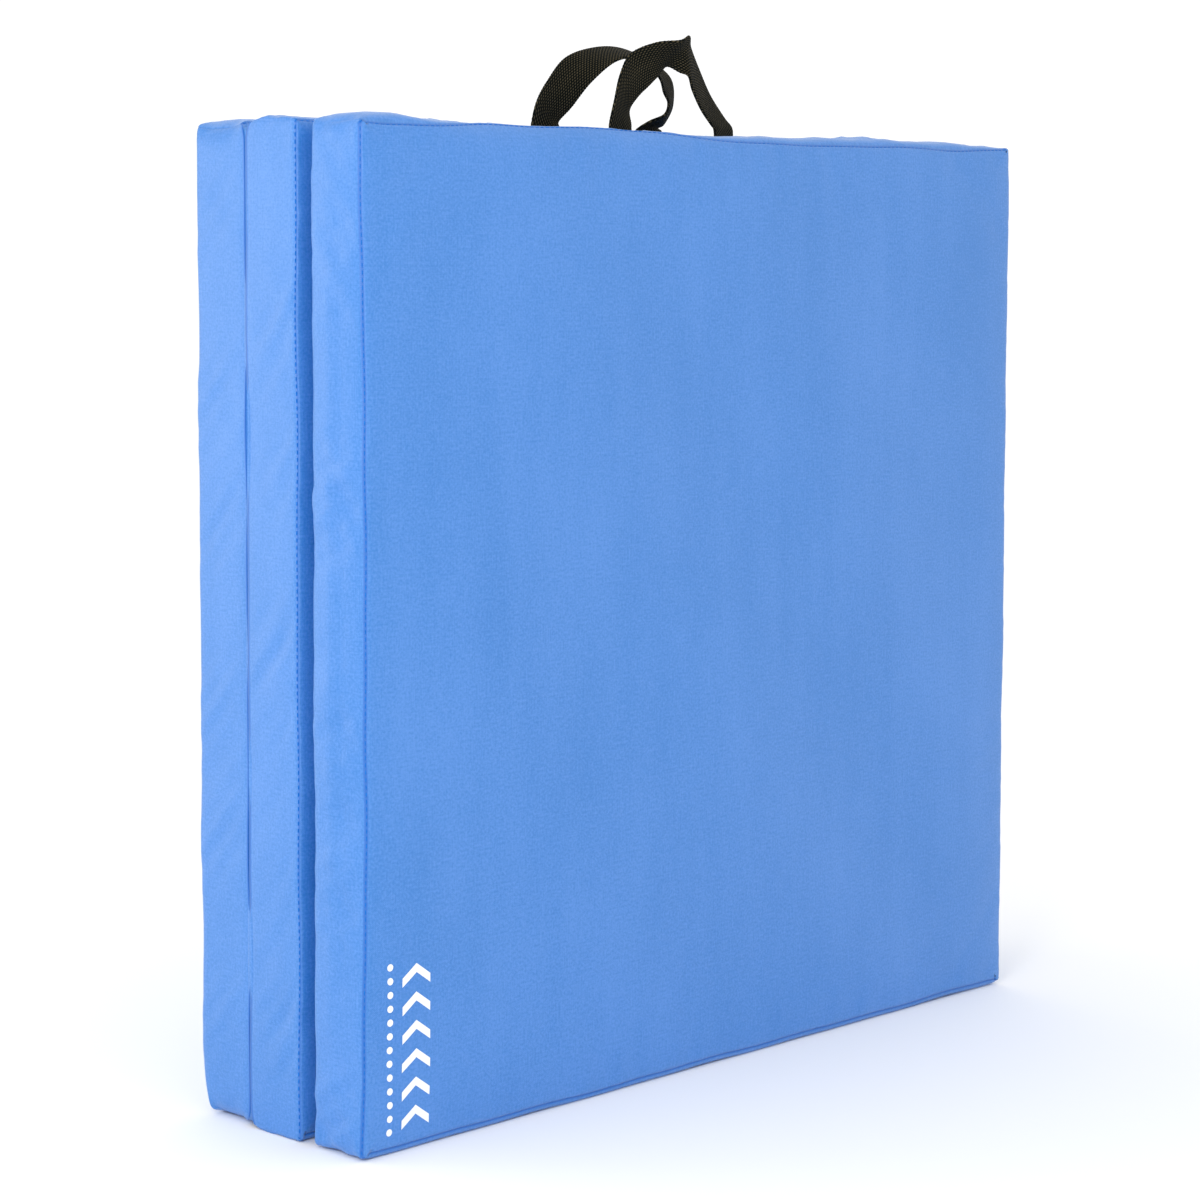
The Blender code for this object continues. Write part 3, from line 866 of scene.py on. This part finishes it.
for panel in PANELS:
    cover = make_cover(panel)
    COVERS[panel] = cover
    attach(cover, f"{panel}_panel")
    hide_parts(*(f"{panel}_{node}" for node in COVER_NODES))
    size = [round(value * 1000) for value in cover.dimensions]
    print(cover.name, size, "mm,", len(cover.data.polygons), "quads")

# %% [markdown]
# Inside each cover lies its foam slab. It is cut a little smaller than the cover's seams, with
# softened edges, so it never shows through.

# %% Foam slabs
FOAM_INSET = 0.0060        # from the cover's seams in to the slab
FOAM_STEP = 0.012
FOAM_DEPTH_STEP = 0.009
FOAM_BEVEL = 0.002


def make_foam(panel):
    xs = even_lines(-HALF_WIDTH + FOAM_INSET, HALF_WIDTH - FOAM_INSET, FOAM_STEP)
    ys = even_lines(-HALF_DEPTH + FOAM_INSET, HALF_DEPTH - FOAM_INSET, FOAM_DEPTH_STEP)
    zs = even_lines(FOAM_INSET, HEIGHT - FOAM_INSET, FOAM_STEP)
    points, sides, _ = grid_box(xs, ys, zs)
    if panel == "rear":
        points[:, 1] -= squash(*points.T)
    slab = new_piece(f"{panel}_foam_slab", points + [0, PANEL_Y[panel], 0],
                     np.concatenate(list(sides.values())))
    soften = slab.modifiers.new("soften", "BEVEL")
    soften.width = FOAM_BEVEL
    soften.segments = 2
    soften.limit_method = "ANGLE"
    slab.data.materials.append(FOAM_FINISH)
    return slab


for panel in PANELS:
    slab = make_foam(panel)
    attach(slab, f"{panel}_panel")
    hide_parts(f"{panel}_foam_core")
    print(slab.name, len(slab.data.polygons), "quads")

# %% [markdown]
# At a fold the two covers share one strip of fabric, sewn down between them. It is a narrow band
# over the fold line that sits in the crease between the two lips.

# %% Fold strips
STRIP_HALF = 0.0032
STRIP_BED = 0.0019         # from the fold line in to the strip's middle
STRIP_CURL = 0.0009        # its edges lie this much deeper than its middle
STRIP_THICK = 0.0008
STRIP_LINES = 13
STRIP_ROW = 0.006
STRIP_MARGIN = LIP_END * 0.35
FAR_FROM_SEAM_MM = 9.0


def make_fold_strip(side):
    line = FOLD_LINE[side]
    outward = SIDE_SIGN[side]
    rows = even_lines(STRIP_MARGIN, HEIGHT - STRIP_MARGIN, STRIP_ROW)
    across = np.linspace(-1, 1, STRIP_LINES)
    outer_x = -STRIP_BED - STRIP_CURL * np.abs(across) ** 3
    outline = list(zip(across * STRIP_HALF, outer_x))
    outline += [(shift, depth - STRIP_THICK) for shift, depth in outline[::-1]]
    points, faces = [], []
    for height in rows:
        for shift, depth in outline:
            points.append((line.x + outward * depth, line.y + shift, height))
    count = len(outline)
    for row in range(len(rows) - 1):
        for corner in range(count):
            beside = (corner + 1) % count
            low, high = row * count, (row + 1) * count
            faces.append((low + corner, low + beside, high + beside, high + corner))
    faces.append(tuple(range(count))[::-1])
    faces.append(tuple(range((len(rows) - 1) * count, len(rows) * count)))
    if side == "left":
        faces = [face[::-1] for face in faces]
    strip = new_piece(f"{side}_fold_strip", points, faces)
    layer = strip.data.uv_layers.new(name="cloth")
    for corner in strip.data.loops:
        place = strip.data.vertices[corner.vertex_index].co
        layer.data[corner.index].uv = (place.y, place.z)
    store(strip.data, "seam_mm", np.full(len(points), FAR_FROM_SEAM_MM))
    strip.data.materials.append(COVER_FINISH)
    strip.data.shade_smooth()
    return strip


for side, neighbour in (("right", "front"), ("left", "rear")):
    strip = make_fold_strip(side)
    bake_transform(strip)
    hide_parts(f"{side}_fold_seam")
    print(strip.name, len(strip.data.polygons), "faces")

# %% [markdown]
# Lock stitches run along every face seam. Geometry Nodes lay them: the seam's own line becomes a
# curve, points are spread along it one stitch apart, and a short capsule of thread is set on each
# point, turned along the seam. Realize Instances makes them one plain mesh for each panel.

# %% Stitches along the seams
STITCH_PITCH = 0.0042
STITCH_LENGTH = 0.0029
THREAD_RADIUS = 0.00032
STITCH_LIFT = 0.00025      # a stitch lies this far out of the seam's valley
FOLD_CLEAR = 0.004         # no stitches show within this distance of a fold


def node_group(name, inputs):
    """An empty Geometry Nodes tree with a geometry input and output and some named sizes."""
    group = bpy.data.node_groups.new(name, "GeometryNodeTree")
    group.interface.new_socket("Geometry", in_out="INPUT", socket_type="NodeSocketGeometry")
    for label, (kind, value) in inputs.items():
        socket = group.interface.new_socket(label, in_out="INPUT", socket_type=kind)
        if value is not None:
            socket.default_value = value
    group.interface.new_socket("Geometry", in_out="OUTPUT", socket_type="NodeSocketGeometry")
    return group, group.nodes.new("NodeGroupInput"), group.nodes.new("NodeGroupOutput")


def add_node(group, kind, settings=None, inputs=None):
    made = group.nodes.new(kind)
    for name, value in (settings or {}).items():
        setattr(made, name, value)
    for key, value in (inputs or {}).items():
        if isinstance(value, bpy.types.NodeSocket):
            group.links.new(value, made.inputs[key])
        else:
            made.inputs[key].default_value = value
    return made


def stitch_tree():
    group, given, result = node_group("seam_stitches", {
        "Pitch": ("NodeSocketFloat", STITCH_PITCH),
        "Stitch Length": ("NodeSocketFloat", STITCH_LENGTH),
        "Thread Radius": ("NodeSocketFloat", THREAD_RADIUS),
        "Thread": ("NodeSocketMaterial", None)})
    curve = add_node(group, "GeometryNodeMeshToCurve", None, {"Mesh": given.outputs["Geometry"]})
    spaced = add_node(group, "GeometryNodeResampleCurve", {"mode": "LENGTH"},
                      {"Curve": curve.outputs[0], "Length": given.outputs["Pitch"]})
    tangent = add_node(group, "GeometryNodeInputTangent")
    turn = add_node(group, "FunctionNodeAlignRotationToVector", {"axis": "Z"},
                    {"Vector": tangent.outputs[0]})
    ball = add_node(group, "GeometryNodeMeshUVSphere", None,
                    {"Segments": 6, "Rings": 4, "Radius": given.outputs["Thread Radius"]})
    length = add_node(group, "ShaderNodeMath", {"operation": "DIVIDE"},
                      {0: given.outputs["Stitch Length"], 1: given.outputs["Thread Radius"]})
    half = add_node(group, "ShaderNodeMath", {"operation": "MULTIPLY"},
                    {0: length.outputs[0], 1: 0.5})
    scale = add_node(group, "ShaderNodeCombineXYZ", None,
                     {"X": 1.0, "Y": 1.0, "Z": half.outputs[0]})
    stretched = add_node(group, "GeometryNodeTransform", None,
                         {"Geometry": ball.outputs["Mesh"], "Scale": scale.outputs[0]})
    laid = add_node(group, "GeometryNodeInstanceOnPoints", None,
                    {"Points": spaced.outputs[0], "Instance": stretched.outputs[0],
                     "Rotation": turn.outputs[0]})
    real = add_node(group, "GeometryNodeRealizeInstances", None, {"Geometry": laid.outputs[0]})
    painted = add_node(group, "GeometryNodeSetMaterial", None,
                       {"Geometry": real.outputs[0], "Material": given.outputs["Thread"]})
    group.links.new(painted.outputs[0], result.inputs[0])
    return group


def run_tree(source, group, values, name):
    """Runs a Geometry Nodes tree on an object and keeps its result as a plain mesh."""
    modifier = source.modifiers.new("nodes", "NODES")
    modifier.node_group = group
    for item in group.interface.items_tree:
        if item.in_out == "INPUT" and item.name in values:
            modifier[item.identifier] = values[item.name]
    bpy.context.view_layer.update()
    evaluated = source.evaluated_get(bpy.context.evaluated_depsgraph_get())
    mesh = bpy.data.meshes.new_from_object(evaluated)
    mesh.name = name
    made = bpy.data.objects.new(name, mesh)
    bpy.context.scene.collection.objects.link(made)
    bpy.data.objects.remove(source)
    return made


def seam_lines(panel):
    """Both seam rings of a panel as edges, lifted a little out of their valleys."""
    points, edges = [], []
    middle = np.array([0.0, PANEL_Y[panel], HEIGHT / 2])
    folds = PANEL_FOLDS[panel]
    for face, ring in zip(("front", "rear"), SEAM_RINGS[panel]):
        flat = np.abs(ring - middle) / [HALF_WIDTH, HALF_DEPTH, HEIGHT / 2]
        seen = np.ones(len(ring), bool)
        for side, folded in folds.items():
            if folded == face:
                seen &= SIDE_SIGN[side] * ring[:, 0] < HALF_WIDTH - FOLD_CLEAR
        upright = flat[:, 0] > flat[:, 2]
        outward = np.sign(ring - middle)
        outward[:, 0] *= upright
        outward[:, 2] *= ~upright
        lifted = ring + outward * STITCH_LIFT / math.sqrt(2)
        start = len(points)
        points.extend(lifted.tolist())
        count = len(ring)
        edges.extend((start + step, start + (step + 1) % count) for step in range(count)
                     if seen[step] and seen[(step + 1) % count])
    mesh = bpy.data.meshes.new(f"{panel}_seam_lines")
    mesh.from_pydata(points, edges, [])
    made = bpy.data.objects.new(f"{panel}_seam_lines", mesh)
    bpy.context.scene.collection.objects.link(made)
    return made


STITCHES = stitch_tree()
for panel in PANELS:
    stitches = run_tree(seam_lines(panel), STITCHES, {"Thread": THREAD_FINISH},
                        f"{panel}_stitches")
    stitches.data.shade_smooth()
    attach(stitches, f"{panel}_panel")
    print(stitches.name, len(stitches.data.polygons), "faces")

# %% [markdown]
# A small mark is printed in white ink near the lower left of the front face. It is a plain column
# of chevrons beside a row of dots. Geometry Nodes repeat the motif up the face, press it onto the
# cover by casting rays at it, and give the ink its thin body.

# %% Printed mark
MARK_LEFT = -0.2800        # the row of dots
MARK_MIDDLE = -0.2605      # the column of chevrons
MARK_BOTTOM = 0.014
CHEVRON_PITCH = 0.0166
CHEVRON_COUNT = 6
DOT_PITCH = 0.0080
DOT_COUNT = 13
INK_THICKNESS = 0.00012
INK_LIFT = 0.00010
INK_MERGE = 0.000005
CHEVRON_HALF = 0.0105
CHEVRON_RISE = 0.0075
CHEVRON_BAR = 0.0052
CHEVRON_STEPS = 8
DOT_RADIUS = 0.0021
DOT_SIDES = 20
RAY_START = (0.0, -0.2, 0.0)   # the rays start this far in front of the mat


def chevron_motif():
    """A flat chevron, pointing up, in small quads so that it can follow the cloth."""
    points, faces = [], []
    across = np.linspace(-CHEVRON_HALF, CHEVRON_HALF, 2 * CHEVRON_STEPS + 1)
    for layer in range(4):
        for x in across:
            slope = CHEVRON_RISE * (1 - abs(x) / CHEVRON_HALF)
            points.append((x, 0.0, slope + CHEVRON_BAR * layer / 3))
    row = len(across)
    for layer in range(3):
        for step in range(row - 1):
            low = layer * row + step
            faces.append((low, low + 1, low + row + 1, low + row))
    return points, faces


def dot_motif():
    """A flat round dot, as a fan of small faces."""
    points = [(0.0, 0.0, 0.0)]
    for radius in (0.55 * DOT_RADIUS, DOT_RADIUS):
        for step in range(DOT_SIDES):
            turn = 2 * math.pi * step / DOT_SIDES
            points.append((radius * math.cos(turn), 0.0, radius * math.sin(turn)))
    faces = []
    for step in range(1, DOT_SIDES + 1):
        following = step % DOT_SIDES + 1
        faces.append((0, step, following))
        faces.append((step, DOT_SIDES + step, DOT_SIDES + following, following))
    return points, faces


def print_tree():
    group, given, result = node_group("printed_column", {
        "Cloth": ("NodeSocketObject", None),
        "Count": ("NodeSocketInt", 1),
        "Pitch": ("NodeSocketFloat", CHEVRON_PITCH),
        "Thickness": ("NodeSocketFloat", INK_THICKNESS),
        "Lift": ("NodeSocketFloat", INK_LIFT),
        "Ink": ("NodeSocketMaterial", None)})
    step = add_node(group, "ShaderNodeCombineXYZ", None,
                    {"X": 0.0, "Y": 0.0, "Z": given.outputs["Pitch"]})
    column = add_node(group, "GeometryNodeMeshLine", {"mode": "OFFSET"},
                      {"Count": given.outputs["Count"], "Offset": step.outputs[0]})
    copies = add_node(group, "GeometryNodeInstanceOnPoints", None,
                      {"Points": column.outputs[0], "Instance": given.outputs["Geometry"]})
    real = add_node(group, "GeometryNodeRealizeInstances", None, {"Geometry": copies.outputs[0]})
    cloth = add_node(group, "GeometryNodeObjectInfo", {"transform_space": "ORIGINAL"},
                     {"Object": given.outputs["Cloth"]})
    place = add_node(group, "GeometryNodeInputPosition")
    back = add_node(group, "ShaderNodeVectorMath", {"operation": "ADD"},
                    {0: place.outputs[0], 1: RAY_START})
    ray = add_node(group, "GeometryNodeRaycast", None,
                   {"Target Geometry": cloth.outputs["Geometry"],
                    "Source Position": back.outputs[0], "Ray Direction": (0.0, 1.0, 0.0),
                    "Ray Length": 1.0})
    lift = add_node(group, "ShaderNodeVectorMath", {"operation": "SCALE"},
                    {0: ray.outputs["Hit Normal"], "Scale": given.outputs["Lift"]})
    raised = add_node(group, "ShaderNodeVectorMath", {"operation": "ADD"},
                      {0: ray.outputs["Hit Position"], 1: lift.outputs[0]})
    pressed = add_node(group, "GeometryNodeSetPosition", None,
                       {"Geometry": real.outputs[0], "Position": raised.outputs[0]})
    body = add_node(group, "GeometryNodeExtrudeMesh", {"mode": "FACES"},
                    {"Mesh": pressed.outputs[0], "Offset Scale": given.outputs["Thickness"],
                     "Individual": False})
    underside = add_node(group, "GeometryNodeFlipFaces", None, {"Mesh": pressed.outputs[0]})
    joined = add_node(group, "GeometryNodeJoinGeometry")
    group.links.new(body.outputs[0], joined.inputs[0])
    group.links.new(underside.outputs[0], joined.inputs[0])
    closed = add_node(group, "GeometryNodeMergeByDistance", None,
                      {"Geometry": joined.outputs[0], "Distance": INK_MERGE})
    painted = add_node(group, "GeometryNodeSetMaterial", None,
                       {"Geometry": closed.outputs[0], "Material": given.outputs["Ink"]})
    group.links.new(painted.outputs[0], result.inputs[0])
    return group


PRINT = print_tree()
for name, motif, left, count, pitch in (
        ("printed_chevrons", chevron_motif, MARK_MIDDLE, CHEVRON_COUNT, CHEVRON_PITCH),
        ("printed_dots", dot_motif, MARK_LEFT, DOT_COUNT, DOT_PITCH)):
    points, faces = motif()
    source = new_piece(f"{name}_motif", np.array(points) + [left, 0.0, MARK_BOTTOM], faces)
    mark = run_tree(source, PRINT, {"Cloth": COVERS["front"], "Count": count, "Pitch": pitch,
                                    "Ink": INK_FINISH}, name)
    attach(mark, "front_panel")
    print(mark.name, len(mark.data.polygons), "faces")

# %% [markdown]
# The handles are flat webbing, twisted a little as they were sewn, so they are built directly: a
# smooth route for the middle of the strap, a second one for the way to its outer edge, and a
# rounded flat section swept along them. Small ripples along both selvedges follow the ribs of the
# weave. Each foot runs on down into the cover, behind the top seam.

# %% Strap routes
HANDLE_SPAN = 0.096        # between the middles of the two feet
HANDLE_RISE = 0.0475
FOOT_GAP = 0.0013          # from the swing line to the start of the loop
WEBBING_WIDTH = 0.025
WEBBING_THICKNESS = 0.0019
HIDDEN = ((0.0, -0.30), (0.0, -0.14))
CURVE_SAMPLES = 1201
STRAP_STEP = 0.0009        # between the rings of points along a strap
SELVEDGE_RIPPLE = 0.014

# Each stop: across in half spans, forward or back and up in rises, and the way to the outer edge
# in half widths.
FRONT_LOOP = [
    (-1.00, 0.00, 0.00, (-0.97, -0.20, 0.00)),
    (-0.97, 0.00, 0.24, (-0.90, -0.36, 0.20)),
    (-0.85, -0.01, 0.50, (-0.82, -0.19, 0.54)),
    (-0.65, -0.02, 0.72, (-0.67, 0.00, 0.78)),
    (-0.36, -0.06, 0.87, (-0.48, -0.36, 0.78)),
    (-0.10, -0.10, 0.95, (-0.20, -0.70, 0.62)),
    (0.10, -0.11, 0.95, (0.10, -0.25, 0.93)),
    (0.25, -0.06, 0.86, (0.42, 0.35, 0.80)),
    (0.46, 0.02, 0.63, (0.67, 0.42, 0.60)),
    (0.70, 0.06, 0.34, (0.78, 0.42, 0.42)),
    (0.90, 0.02, 0.09, (0.86, 0.32, 0.20)),
    (0.98, 0.00, 0.00, (0.95, 0.24, 0.06)),
]
REAR_LOOP = [
    (-1.00, 0.00, 0.00, (-1.00, 0.00, 0.00)),
    (-0.96, -0.01, 0.20, (-0.86, -0.05, 0.46)),
    (-0.76, -0.03, 0.44, (-0.68, 0.22, 0.66)),
    (-0.45, -0.07, 0.77, (-0.34, 0.62, 0.65)),
    (0.00, -0.12, 1.00, (0.00, 0.92, 0.36)),
    (0.46, -0.15, 1.03, (0.14, 0.93, 0.33)),
    (0.92, -0.16, 0.85, (0.36, 0.78, 0.48)),
    (1.22, -0.14, 0.63, (0.74, 0.48, 0.44)),
    (1.32, -0.11, 0.38, (0.79, 0.60, 0.00)),
    (1.24, -0.07, 0.17, (0.66, 0.66, -0.20)),
    (1.08, -0.02, 0.09, (0.82, 0.46, -0.12)),
    (1.00, 0.00, 0.00, (1.00, 0.00, 0.00)),
]


def smooth_through(stops, samples):
    """A Catmull-Rom curve through the stops, read at even steps of its parameter."""
    stops = np.asarray(stops, float)
    ends = np.vstack([2 * stops[0] - stops[1], stops, 2 * stops[-1] - stops[-2]])
    along = np.linspace(0, len(stops) - 1, samples)
    index = np.minimum(along.astype(int), len(stops) - 2)
    t = (along - index)[:, None]
    p0, p1, p2, p3 = (ends[index + step] for step in range(4))
    return 0.5 * (2 * p1 + (p2 - p0) * t + (2 * p0 - 5 * p1 + 4 * p2 - p3) * t ** 2
                  + (3 * p1 - p0 - 3 * p2 + p3) * t ** 3)


print("strap stops:", len(FRONT_LOOP), "and", len(REAR_LOOP))


# %% Sweep the straps
def flat_section(steps=5):
    """The outline of the webbing's section in shares of its half sizes, flat with round edges."""
    ends = []
    bevel = WEBBING_THICKNESS / WEBBING_WIDTH
    for turn in np.linspace(-math.pi / 2, math.pi / 2, steps):
        ends.append((1 - bevel + bevel * math.cos(turn), math.sin(turn)))
    face = [(share, 1.0) for share in (0.62, 0.31, 0.0, -0.31, -0.62)]
    half = ends + face
    return np.array(half + [(-across, -through) for across, through in half])


def make_strap(name, route, swing_line):
    line = np.array(swing_line)
    scale = np.array([HANDLE_SPAN / 2, HANDLE_RISE, HANDLE_RISE])
    stops = [stop[:3] for stop in route]
    edges = [stop[3] for stop in route]
    for back, drop in reversed(HIDDEN):
        stops = [(-1.0, back, drop)] + stops + [(1.0, back, drop)]
        edges = [edges[0]] + edges + [edges[-1]]
    middles = smooth_through(np.array(stops) * scale, CURVE_SAMPLES) + line + [0, 0, FOOT_GAP]
    ways = smooth_through(edges, CURVE_SAMPLES)
    run = np.concatenate([[0], np.cumsum(np.linalg.norm(np.diff(middles, axis=0), axis=1))])
    length = run[-1]
    even = np.linspace(0, length, round(length / STRAP_STEP))
    middles = np.column_stack([np.interp(even, run, middles[:, axis]) for axis in range(3)])
    ways = np.column_stack([np.interp(even, run, ways[:, axis]) for axis in range(3)])
    ahead = np.gradient(middles, axis=0)
    through = np.cross(ahead, ways)
    through /= np.linalg.norm(through, axis=1)[:, None]
    section = flat_section()
    ripple = 1 + SELVEDGE_RIPPLE * np.sin(2 * math.pi * even / WEBBING_PITCH)
    points, uvs = [], []
    for step in range(len(even)):
        for across, out in section:
            widen = ripple[step] if abs(across) > 0.9 else 1.0
            place = (middles[step] + ways[step] * (across * widen * WEBBING_WIDTH / 2)
                     + through[step] * (out * WEBBING_THICKNESS / 2))
            points.append(place)
            uvs.append((across * WEBBING_WIDTH / 2, even[step]))
    count = len(section)
    faces = []
    for step in range(len(even) - 1):
        low, high = step * count, (step + 1) * count
        for corner in range(count):
            beside = (corner + 1) % count
            faces.append((low + corner, high + corner, high + beside, low + beside))
    faces.append(tuple(range(count)))
    faces.append(tuple(range((len(even) - 1) * count, len(even) * count))[::-1])
    strap = new_piece(name, points, faces)
    layer = strap.data.uv_layers.new(name="cloth")
    for corner in strap.data.loops:
        layer.data[corner.index].uv = uvs[corner.vertex_index]
    strap.data.materials.append(WEBBING_FINISH)
    strap.data.shade_smooth()
    return strap, length


for panel, route in (("front", FRONT_LOOP), ("rear", REAR_LOOP)):
    swing = Vector(FOLDS[f"{panel}_handle_swing"]["pos_m"])
    strap, length = make_strap(f"{panel}_handle_strap", route, swing)
    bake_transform(strap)
    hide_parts(f"{panel}_handle_loop", f"{panel}_handle_left_end",
                f"{panel}_handle_right_end")
    print(f"{strap.name}: {length:.3f} m of webbing")
